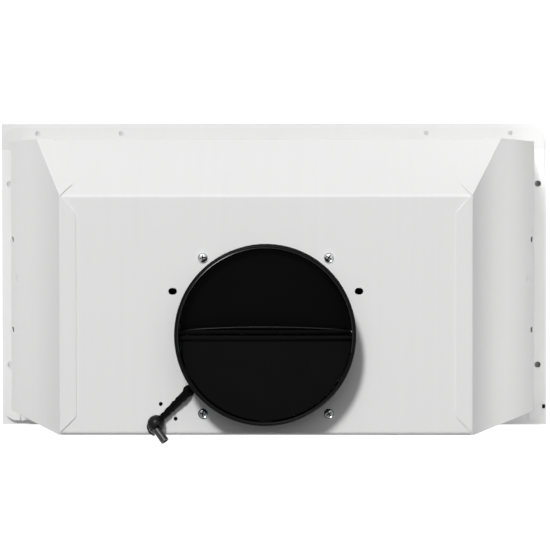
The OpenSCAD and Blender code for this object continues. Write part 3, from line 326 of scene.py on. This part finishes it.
for side, x in (("left", -seam_at), ("right", seam_at)):
    sealer_way = []
    sealer_r = []
    for i in range(seam_parts + 1):
        along = seam_ends[0] + (seam_ends[1] - seam_ends[0]) * i / seam_parts
        sealer_way.append((x, along, seam_z))
        sealer_r.append(seam_r * (seam_tip + (1 - seam_tip) * min(1, i, seam_parts - i)))
    sealer = tube_along("corner_sealer_" + side, sealer_way, sealer_r)
    settle(sealer, "hood", white_coat)


# Blower housing
# Pressed galvanised sheet: the scroll between its two side plates, the funnel from its square
# outlet to the round collar, the ring plate that the blower hangs from, and the motor's
# three-armed bracket.
mark_depth = 0.00002
mark_strength = 0.3


def bare_metal(name, dark, light, rough, stretch):
    metal, tree, shader = new_finish(name)
    shader.inputs["Metallic"].default_value = 1
    shader.inputs["Roughness"].default_value = rough
    marks = speckle(tree, scale=1, detail=5, stretch=stretch)
    tree.links.new(tint_between(tree, marks, tone_span, dark, light), shader.inputs["Base Color"])
    raise_grain(tree, marks, shader, mark_depth, mark_strength)
    return metal


galvanised = bare_metal("galvanised", (0.42, 0.44, 0.45), (0.58, 0.60, 0.61), 0.4, (55, 55, 55))
dress(galvanised, "blower_flange", "outlet_funnel", "scroll_band", "scroll_side_left",
      "scroll_side_right", "motor_bracket")


# Blower wheel
# Forward-curved aluminium blades between two end rings, with a web disc let into them and a
# hub that is bored for the shaft. The shaft is drawn bright steel.
wheel_metal = bare_metal("wheel_metal", (0.52, 0.53, 0.54), (0.62, 0.63, 0.64), 0.35,
                         (30, 400, 400))
bright_steel = bare_metal("bright_steel", (0.50, 0.50, 0.51), (0.66, 0.66, 0.67), 0.25,
                          (40, 900, 900))
dress(wheel_metal, "blower_wheel", "wheel_hub")
dress(bright_steel, "rotor_shaft")


# Motor
# A drawn steel can with cooling slots round its open end, enamelled black. It sits in the
# wheel, and its bracket is screwed to the side of the scroll.
mottle_scale = 45
mottle_span = (0.35, 0.65)
mottle_shade = 0.8
pit_scale = 2600
pit_depth = 0.00003


def moulded(name, colour, rough, gloss, grain):
    plastic, tree, shader = new_finish(name)
    shader.inputs["Roughness"].default_value = rough
    shader.inputs["Specular IOR Level"].default_value = gloss
    mottle = speckle(tree, scale=mottle_scale, detail=4)
    darker = [c * mottle_shade for c in colour]
    mottled = tint_between(tree, mottle, mottle_span, darker, colour)
    tree.links.new(mottled, shader.inputs["Base Color"])
    pits = speckle(tree, scale=pit_scale, detail=2)
    raise_grain(tree, pits, shader, pit_depth, grain)
    return plastic


motor_black = moulded("motor_black", (0.05, 0.05, 0.052), 0.35, 0.5, 0.2)
dress(motor_black, "motor")


# Capacitor
# The motor's run capacitor: an off-white plastic can that lies along the rear panel. A
# galvanised strap holds it, with a screw ear above and below.
off_white = moulded("off_white", (0.75, 0.75, 0.73), 0.4, 0.5, 0.1)
dress(off_white, "capacitor")
dress(galvanised, "capacitor_clip")


# Terminal box
# A fine-grained charcoal plastic box under the top sheet, where the leads are joined. It is
# open below and closed by a cover.
charcoal = moulded("charcoal", (0.03, 0.03, 0.032), 0.5, 0.4, 0.4)
dress(charcoal, "terminal_box", "terminal_cover")


# Duct collar and damper flaps
# Moulded black plastic: a tube with a rolled rim, and two half-round flaps on steel pins.
# The moulding is satin, with a fine spark-eroded grain.
collar_black = moulded("collar_black", (0.003, 0.003, 0.003), 0.38, 0.05, 0.2)
# The flaps are two copies of one black: the front one darker as painted shade, the rear lighter as
# painted light.
shaded_front_flap_black = moulded("shaded_front_flap_black", (0.0006, 0.0006, 0.0006), 0.6, 0.03, 0.3)
lit_rear_flap_black = moulded("lit_rear_flap_black", (0.0022, 0.0022, 0.0024), 0.6, 0.03, 0.3)
dress(collar_black, "duct_collar")
dress(shaded_front_flap_black, "damper_flap_front")
dress(lit_rear_flap_black, "damper_flap_rear")


# Rim bead
# The rolled rim of the collar, part of the same moulding. The inner side of the roll is
# polished by handling along the room side, and shows as a thin bright line round the mouth.
hinges = {joint["name"]: joint["pos_m"] for joint in frame["joints"] if joint["type"] == "hinge"}
front_pin = hinges["flap_front_swing"]
rear_pin = hinges["flap_rear_swing"]
duct_axis = (0, (front_pin[1] + rear_pin[1]) / 2)
rim_bead_r = 0.07358
rim_bead_thick = 0.00185
rim_bead_z = 0.39812
rim_bead_sides = 28
rim_bead_turns = 192
joined_within = 0.000005
polished_lean = (-0.80, 0.12)
polished_to = 0.055
bpy.ops.object.select_all(action="DESELECT")
bpy.ops.mesh.primitive_circle_add(vertices=rim_bead_sides, radius=rim_bead_thick,
                                  location=(rim_bead_r, duct_axis[1], rim_bead_z),
                                  rotation=(math.radians(90), 0, 0))
rim_bead = bpy.context.object
rim_bead.name = "rim_bead"
bpy.ops.object.transform_apply(location=True, rotation=True, scale=True)
bpy.ops.object.mode_set(mode="EDIT")
bpy.ops.mesh.select_all(action="SELECT")
bpy.ops.mesh.spin(steps=rim_bead_turns, angle=math.radians(360),
                  center=(*duct_axis, rim_bead_z), axis=(0, 0, 1))
bpy.ops.mesh.select_all(action="SELECT")
bpy.ops.mesh.remove_doubles(threshold=joined_within)
bpy.ops.mesh.normals_make_consistent(inside=False)
bpy.ops.object.mode_set(mode="OBJECT")
polished_black = moulded("polished_black", (0.006, 0.006, 0.006), 0.3, 0.3, 0.05)
settle(rim_bead, "hood", polished_black)
rim_bead.data.materials.append(collar_black)
for face in rim_bead.data.polygons:
    out = Vector((face.center.x - duct_axis[0], face.center.y - duct_axis[1], 0)).normalized()
    worn = polished_lean[0] < face.normal.dot(out) < polished_lean[1] and face.normal.z > 0
    face.material_index = 0 if worn and face.center.y < polished_to else 1


# Flap bead
# A fine raised bead, moulded on the front flap along its hinge. It bows away from the hinge
# towards the middle, over the flap's stiffening rib, and runs out at both ends.
flap_bead_half = 0.0648
flap_bead_middle = (0.0335, 0.38945)
flap_bead_end = (0.0358, 0.38765)
flap_bead_r = 0.0005
flap_bead_tip = 0.35
flap_bead_taper = 6
flap_bead_parts = 32
flap_bead_way = []
flap_bead_radii = []
for i in range(flap_bead_parts + 1):
    along = 2 * i / flap_bead_parts - 1
    y, z = (middle + (end - middle) * along ** 2
            for middle, end in zip(flap_bead_middle, flap_bead_end))
    full = min(1, flap_bead_taper * (1 - abs(along)))
    flap_bead_way.append((along * flap_bead_half, y, z))
    flap_bead_radii.append(flap_bead_r * (flap_bead_tip + (1 - flap_bead_tip) * full))
flap_bead = tube_along("flap_bead", flap_bead_way, flap_bead_radii, roundness=4)
bead_black = moulded("bead_black", (0.003, 0.003, 0.003), 0.35, 0.17, 0.05)
settle(flap_bead, "flap_front", bead_black)


# Damper pins
# Two blackened steel pins that the flaps turn on. A small bright ring is pushed on the front
# one, between the flap and the collar's wall, so that the flap can't slide.
pin_steel = bare_metal("pin_steel", (0.010, 0.010, 0.011), (0.02, 0.02, 0.022), 0.5,
                       (40, 900, 900))
dress(pin_steel, "damper_pins")
ring_x = (-0.07265, -0.07245, -0.0715, -0.0713)
ring_r = (0.0010, 0.0013, 0.0013, 0.0010)
pin_ring = tube_along("pin_ring", [(x, front_pin[1], front_pin[2]) for x in ring_x], ring_r)
settle(pin_ring, "hood", bright_steel)


# Collar screws
# Four zinc-plated pan heads beside the collar. Each is turned with a low dome and a cross
# punched into it, and the cross is painted near black as painted shade in the recess.
# The front two have a lighter zinc as painted light, the back two a darker one as painted shade.
plate_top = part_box("front_top_sheet")[1].z
shank_r = 0.0019
shank_l = 0.009
shank_point = (0.5, 0.001)
screw_steps = ((shank_r * shank_point[0], -shank_l), (shank_r, -shank_l + shank_point[1]),
               (shank_r, 0), (0.0042, 0.0000), (0.0042, 0.0006), (0.0040, 0.0012),
               (0.0034, 0.0019), (0.0025, 0.0024), (0.0012, 0.0026))
screw_sides = 40
cross_arm = (0.0050, 0.0011, 0.0026)
cross_floor = 0.0010
cross_edge = 0.0003
screw_places = ((0.0528, -0.0237, 12), (-0.0528, -0.0237, 58),
                (0.0528, 0.1069, 80), (-0.0528, 0.1069, 35))


def turned(name, centre, steps, sides):
    bpy.ops.object.select_all(action="DESELECT")
    bpy.ops.mesh.primitive_circle_add(vertices=sides, radius=steps[0][0], fill_type="NGON",
                                      location=(centre[0], centre[1], centre[2] + steps[0][1]))
    piece = bpy.context.object
    piece.name = name
    bpy.ops.object.mode_set(mode="EDIT")
    bpy.ops.mesh.select_mode(type="FACE")
    bpy.ops.mesh.select_all(action="SELECT")
    for (r0, z0), (r1, z1) in zip(steps, steps[1:]):
        bpy.ops.mesh.extrude_region_move(TRANSFORM_OT_translate={"value": (0, 0, z1 - z0)})
        bpy.ops.transform.resize(value=(r1 / r0, r1 / r0, 1), center_override=centre)
    bpy.ops.mesh.select_all(action="SELECT")
    bpy.ops.mesh.remove_doubles(threshold=joined_within)
    bpy.ops.mesh.normals_make_consistent(inside=False)
    bpy.ops.object.mode_set(mode="OBJECT")
    bpy.ops.object.transform_apply(location=True, rotation=True, scale=True)
    return piece


screw_pattern = turned("screw_pattern", (0, 0, plate_top), screw_steps, screw_sides)
# Two copies of one zinc, darker and lighter, as painted shade and painted light.
zinc_painted_shade = bare_metal("zinc_painted_shade", (0.10, 0.102, 0.106), (0.24, 0.245, 0.25), 0.22,
                       (420, 420, 420))
zinc_painted_light = bare_metal("zinc_painted_light", (0.30, 0.305, 0.31), (0.62, 0.625, 0.63), 0.24,
                         (420, 420, 420))
# Painted shade: every face of the punched cross gets this near-black finish.
cross_painted_shade = moulded("cross_painted_shade", (0.01, 0.01, 0.01), 0.5, 0.2, 0.3)
screw_pattern.data.materials.append(zinc_painted_shade)
screw_pattern.data.materials.append(cross_painted_shade)
punch_z = plate_top + cross_floor + cross_arm[2] / 2
for turn in (0, 90):
    bpy.ops.object.select_all(action="DESELECT")
    bpy.ops.mesh.primitive_cube_add(size=1, location=(0, 0, punch_z),
                                    rotation=(0, 0, math.radians(turn)), scale=cross_arm)
    punch = bpy.context.object
    punch.data.materials.append(zinc_painted_shade)
    punch.data.materials.append(cross_painted_shade)
    for face in punch.data.polygons:
        face.material_index = 1
    bpy.ops.object.mode_set(mode="EDIT")
    bpy.ops.mesh.select_all(action="SELECT")
    bpy.ops.mesh.bevel(offset=cross_edge, segments=2)
    bpy.ops.object.mode_set(mode="OBJECT")
    cutter = screw_pattern.modifiers.new("punch", "BOOLEAN")
    cutter.object = punch
    cutter.solver = "EXACT"
    only(screw_pattern)
    bpy.ops.object.modifier_apply(modifier="punch")
    bpy.data.objects.remove(punch)
for i, (x, y, turn) in enumerate(screw_places):
    screw = screw_pattern.copy()
    screw.data = screw_pattern.data.copy()
    screw.name = f"collar_screw_{i + 1}"
    bpy.context.collection.objects.link(screw)
    screw.location = (x, y, 0)
    screw.rotation_euler = (0, 0, math.radians(turn))
    only(screw)
    bpy.ops.object.transform_apply(location=True, rotation=True, scale=True)
    bpy.ops.object.shade_smooth_by_angle(angle=smooth_below)
    # Painted light: the front two screws take the lighter zinc copy.
    if y < 0:
        screw.data.materials[0] = zinc_painted_light
    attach(screw, "hood")
    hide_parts("collar_screws")
bpy.data.objects.remove(screw_pattern)


# Supply lead
# A black rubber-sleeved lead that rises through a grommet beside the collar, sags across the
# top plate and goes into the cord grip. Its bare grey jacket comes out of the grip as a short
# tail, cut off square, with its wires cut back inside it.
boot_at = (0.064641, 0.087812)
lead_way = ((0.1015, 0.087812, 0.3502), (0.0760, 0.087812, 0.3502), (0.0700, 0.087812, 0.3508),
            (0.0660, 0.087812, 0.3540), (0.064641, 0.087812, 0.3600), (0.064641, 0.087812, 0.3700),
            (0.0648, 0.0880, 0.3722), (0.0660, 0.0892, 0.3740), (0.0690, 0.0922, 0.37440))
sleeve_from = (0.0690, 0.0922, 0.3744)
sleeve_to = (0.0918, 0.1150, 0.37525)
sleeve_steps = 60
sleeve_r = (0.0035, 0.0024)
sag = 0.0012
sway = (0.00022, 31, 1)
ripples = ((0.00013, 46, 0), (0.0001, 83, 2))


def wave(depth, rate, start, t):
    return depth * math.sin(rate * t + start)


sleeve_points = list(lead_way)
sleeve_radii = [sleeve_r[0]] * len(lead_way)
across = Vector((-1, 1, 0)).normalized()
for i in range(1, sleeve_steps + 1):
    t = i / sleeve_steps
    place = Vector(sleeve_from).lerp(Vector(sleeve_to), t)
    place += across * wave(*sway, t)
    place.z -= sag * math.sin(math.pi * t)
    thick = sleeve_r[0] + (sleeve_r[1] - sleeve_r[0]) * t
    sleeve_points.append(tuple(place))
    sleeve_radii.append(thick + sum(wave(*ripple, t) for ripple in ripples))
lead_sleeve = tube_along("lead_sleeve", sleeve_points, sleeve_radii)
sleeve_black = moulded("sleeve_black", (0.0016, 0.0016, 0.0016), 0.7, 0.03, 0.4)
settle(lead_sleeve, "hood", sleeve_black)
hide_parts("supply_lead")

tail_way = ((0.09349, 0.11666, 0.37525), (0.09190, 0.11877, 0.37611), (0.08874, 0.12297, 0.37782),
            (0.08399, 0.12927, 0.38038))
tail_r = (0.00343, 0.00343, 0.00343, 0.0035)
jacket_wall = 0.0011
wires_back = 0.0025
cut_floor = (-0.004, -0.001)
facing = 0.9


def pick_faces(piece, wanted):
    only(piece)
    bpy.ops.object.mode_set(mode="EDIT")
    bpy.ops.mesh.select_mode(type="FACE")
    bpy.ops.mesh.select_all(action="DESELECT")
    bpy.ops.object.mode_set(mode="OBJECT")
    for face in piece.data.polygons:
        face.select = wanted(face)
    bpy.ops.object.mode_set(mode="EDIT")


lead_tail = tube_along("lead_tail", tail_way, tail_r)
cut_at = Vector(tail_way[-1])
cut_towards = (cut_at - Vector(tail_way[-2])).normalized()
pick_faces(lead_tail, lambda face: face.normal.dot(cut_towards) > facing)
bpy.ops.mesh.inset(thickness=jacket_wall)
bpy.ops.mesh.extrude_region_move(TRANSFORM_OT_translate={"value": -wires_back * cut_towards})
bpy.ops.object.mode_set(mode="OBJECT")
jacket_grey = moulded("jacket_grey", (0.026, 0.026, 0.028), 0.36, 0.3, 0.05)
settle(lead_tail, "hood", jacket_grey)
lead_tail.data.materials.append(sleeve_black)
for face in lead_tail.data.polygons:
    deep = (face.center - cut_at).dot(cut_towards)
    if face.normal.dot(cut_towards) > facing and cut_floor[0] < deep < cut_floor[1]:
        face.material_index = 1
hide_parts("supply_lead")

grommet_sides = 48
grommet_steps = ((0.0048, -0.0035), (0.0048, 0.0000), (0.0049, 0.0002), (0.0049, 0.0011),
                 (0.0042, 0.0015), (0.0039, 0.0024), (0.0037, 0.0030))
lead_grommet = turned("lead_grommet", (*boot_at, plate_top), grommet_steps, grommet_sides)
settle(lead_grommet, "hood", sleeve_black)
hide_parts("lead_boot")


# Cord grip
# A domed clamp, moulded in black rubber, that holds the lead where it turns towards
# the wall. A nut on its stem pulls it down, and the hook on its side springs over the tail.
grip_rubber = moulded("grip_rubber", (0.004, 0.004, 0.004), 0.34, 0.13, 0.15)
dress(grip_rubber, "cord_grip")


# Inside leads
# Two leads in a smooth black sheath, clipped along their way from the terminal box to the
# motor and to the switch block.
sheath = moulded("sheath", (0.012, 0.012, 0.012), 0.35, 0.4, 0.1)
dress(sheath, "motor_lead", "control_lead")


# Bottom panel
# The pressed steel pan that closes the box from below and shows as a narrow ledge past the
# foot flange. It is coated white like the box, a little paler, and zinc-plated screws through
# the walls hold its upstand.
# powder_coat paints the same painted shade below the foot's top, so the low pan is darkened too.
white_enamel = powder_coat("white_enamel", (0.80, 0.80, 0.797), (0.81, 0.81, 0.807))
zinc = bare_metal("zinc", (0.20, 0.205, 0.21), (0.34, 0.345, 0.355), 0.3, (300, 300, 300))
dress(white_enamel, "bottom_panel")
dress(zinc, "panel_screws")


# Edge plug
# A small black plastic plug near the wall, set in the rim of the left foot flange. It is
# moulded from the same plastic as the collar.
dress(collar_black, "edge_plug")


# Switch block and buttons
# A charcoal plastic block on the back of the bottom panel, and five push buttons that come
# through the panel. Each has rounded edges and a shallow dish for the finger.
button_edge = 0.0005
button_dish = (0.0012, 0.0005)
level_within = 0.0002
flat_within = math.radians(1)
soft_from = math.radians(40)
soft_steps = 3


def rounded(name, body, material, width, dish=None):
    piece = bpy.data.objects.new(name + "_rounded", nodes[name].data.copy())
    bpy.context.collection.objects.link(piece)
    only(piece)
    bpy.ops.object.mode_set(mode="EDIT")
    bpy.ops.mesh.select_all(action="SELECT")
    bpy.ops.mesh.remove_doubles(threshold=joined_within)
    bpy.ops.mesh.dissolve_limited(angle_limit=flat_within)
    bpy.ops.mesh.normals_make_consistent(inside=False)
    bpy.ops.object.mode_set(mode="OBJECT")
    if dish:
        lowest = min(v.co.z for v in piece.data.vertices)
        pick_faces(piece, lambda face: face.normal.z < -facing
                   and face.center.z < lowest + level_within)
        bpy.ops.mesh.inset(thickness=dish[0])
        bpy.ops.transform.translate(value=(0, 0, dish[1]))
        bpy.ops.object.mode_set(mode="OBJECT")
    soft = piece.modifiers.new("soft", "BEVEL")
    soft.width = width
    soft.segments = soft_steps
    soft.limit_method = "ANGLE"
    soft.angle_limit = soft_from
    bpy.ops.object.modifier_apply(modifier="soft")
    settle(piece, body, material)
    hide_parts(name)


dress(charcoal, "control_housing")
button_charcoal = moulded("button_charcoal", (0.08, 0.08, 0.085), 0.3, 0.5, 0.1)
for key in ("off", "low", "medium", "high", "lamp"):
    rounded("button_" + key, "key_" + key, button_charcoal,
            button_edge, button_dish)


# Lamps
# White cans on the bottom panel, with frosted lenses that snap in flush with the panel.
# Stepped rings are moulded round each lens's middle to spread the light over the hob.
lens_sides = 96
lens_steps = ((0.0050, 0.0016), (0.0058, 0.0008), (0.0098, 0.0008), (0.0106, 0.0014),
              (0.0142, 0.0014), (0.0150, 0.0008), (0.0186, 0.0008), (0.0194, 0.0014),
              (0.0226, 0.0014), (0.0236, 0.0004), (0.0262, 0.0004), (0.0266, 0.0008),
              (0.0266, 0.0053))


def middle_of(node):
    low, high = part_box(node)
    return (low + high) / 2


can_white = powder_coat("can_white", (0.70, 0.70, 0.69), (0.73, 0.73, 0.72))
dress(can_white, "lamp_housing_left", "lamp_housing_right")
frosted = moulded("frosted", (0.85, 0.85, 0.83), 0.35, 0.5, 0.2)
for side in ("left", "right"):
    lens_at = middle_of("lamp_lens_" + side)
    lens = turned("lamp_lens_turned_" + side, (lens_at.x, lens_at.y, 0), lens_steps, lens_sides)
    settle(lens, "hood", frosted)
    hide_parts("lamp_lens_" + side)


# Grease filters
# Two aluminium channel frames round packs of pleated mesh. They hang on pegs at the rear, and
# bright steel spring clips astride the panel's front upstand hold them up.
filter_metal = bare_metal("filter_metal", (0.60, 0.61, 0.62), (0.70, 0.71, 0.72), 0.3,
                          (20, 700, 700))
filter_mesh_metal = bare_metal("filter_mesh_metal", (0.45, 0.46, 0.47), (0.66, 0.67, 0.68), 0.35,
                               (500, 500, 500))
dress(filter_metal, "filter_frame_left", "filter_frame_right")
dress(filter_mesh_metal, "filter_mesh_left", "filter_mesh_right")
dress(bright_steel, "filter_clips")


# Filter faces
# The lowest layer of each grease filter: expanded aluminium, slit and pulled open into
# diamonds. It lies on the frame's lip, under the pleats, and is cut out round the finger pull.
face_z = 0.00145
face_size = (0.196, 0.1528)
face_cells = (20, 38)
strand = 0.0007
pull_room = (0.0315, -0.0285)
face_y = middle_of("filter_frame_left").y
bpy.ops.object.select_all(action="DESELECT")
bpy.ops.mesh.primitive_grid_add(x_subdivisions=face_cells[0], y_subdivisions=face_cells[1],
                                size=1, location=(0, face_y, face_z))
diamonds = bpy.context.object
diamonds.name = "diamonds"
diamonds.scale = (*face_size, 1)
bpy.ops.object.transform_apply(location=True, rotation=True, scale=True)
bpy.ops.object.mode_set(mode="EDIT")
bpy.ops.mesh.select_all(action="SELECT")
bpy.ops.mesh.poke()
bpy.ops.mesh.select_all(action="DESELECT")
bpy.ops.mesh.select_mode(type="EDGE")
bpy.ops.object.mode_set(mode="OBJECT")
for edge in diamonds.data.edges:
    one, other = (diamonds.data.vertices[i].co for i in edge.vertices)
    middle = (one + other) / 2
    straight = min(abs(one.x - other.x), abs(one.y - other.y)) < level_within
    inside = (abs(middle.x) < face_size[0] / 2 - level_within
              and abs(middle.y - face_y) < face_size[1] / 2 - level_within)
    edge.select = straight and inside
bpy.ops.object.mode_set(mode="EDIT")
bpy.ops.mesh.dissolve_edges(use_verts=False)
bpy.ops.object.mode_set(mode="OBJECT")
pick_faces(diamonds, lambda face: abs(face.center.x) < pull_room[0]
           and face.center.y < pull_room[1])
bpy.ops.mesh.delete(type="FACE")
bpy.ops.object.mode_set(mode="OBJECT")
strands = diamonds.modifiers.new("strands", "WIREFRAME")
strands.thickness = strand
strands.use_even_offset = False
strands.use_boundary = True
bpy.ops.object.modifier_apply(modifier="strands")
expanded_metal = bare_metal("expanded_metal", (0.55, 0.56, 0.57), (0.72, 0.73, 0.74), 0.28,
                            (300, 300, 300))
for side in ("left", "right"):
    face_layer = diamonds.copy()
    face_layer.data = diamonds.data.copy()
    face_layer.name = "filter_face_" + side
    bpy.context.collection.objects.link(face_layer)
    face_layer.location = (middle_of("filter_frame_" + side).x, 0, 0)
    settle(face_layer, "filter_" + side, expanded_metal)
bpy.data.objects.remove(diamonds)


# Finger pulls
# A shallow cup of charcoal plastic at the front of each filter, open below, with a bar to
# hook a finger behind. Its edges are rounded.
pull_edge = 0.0007
for side in ("left", "right"):
    rounded("filter_pull_" + side, "filter_" + side, charcoal, pull_edge)
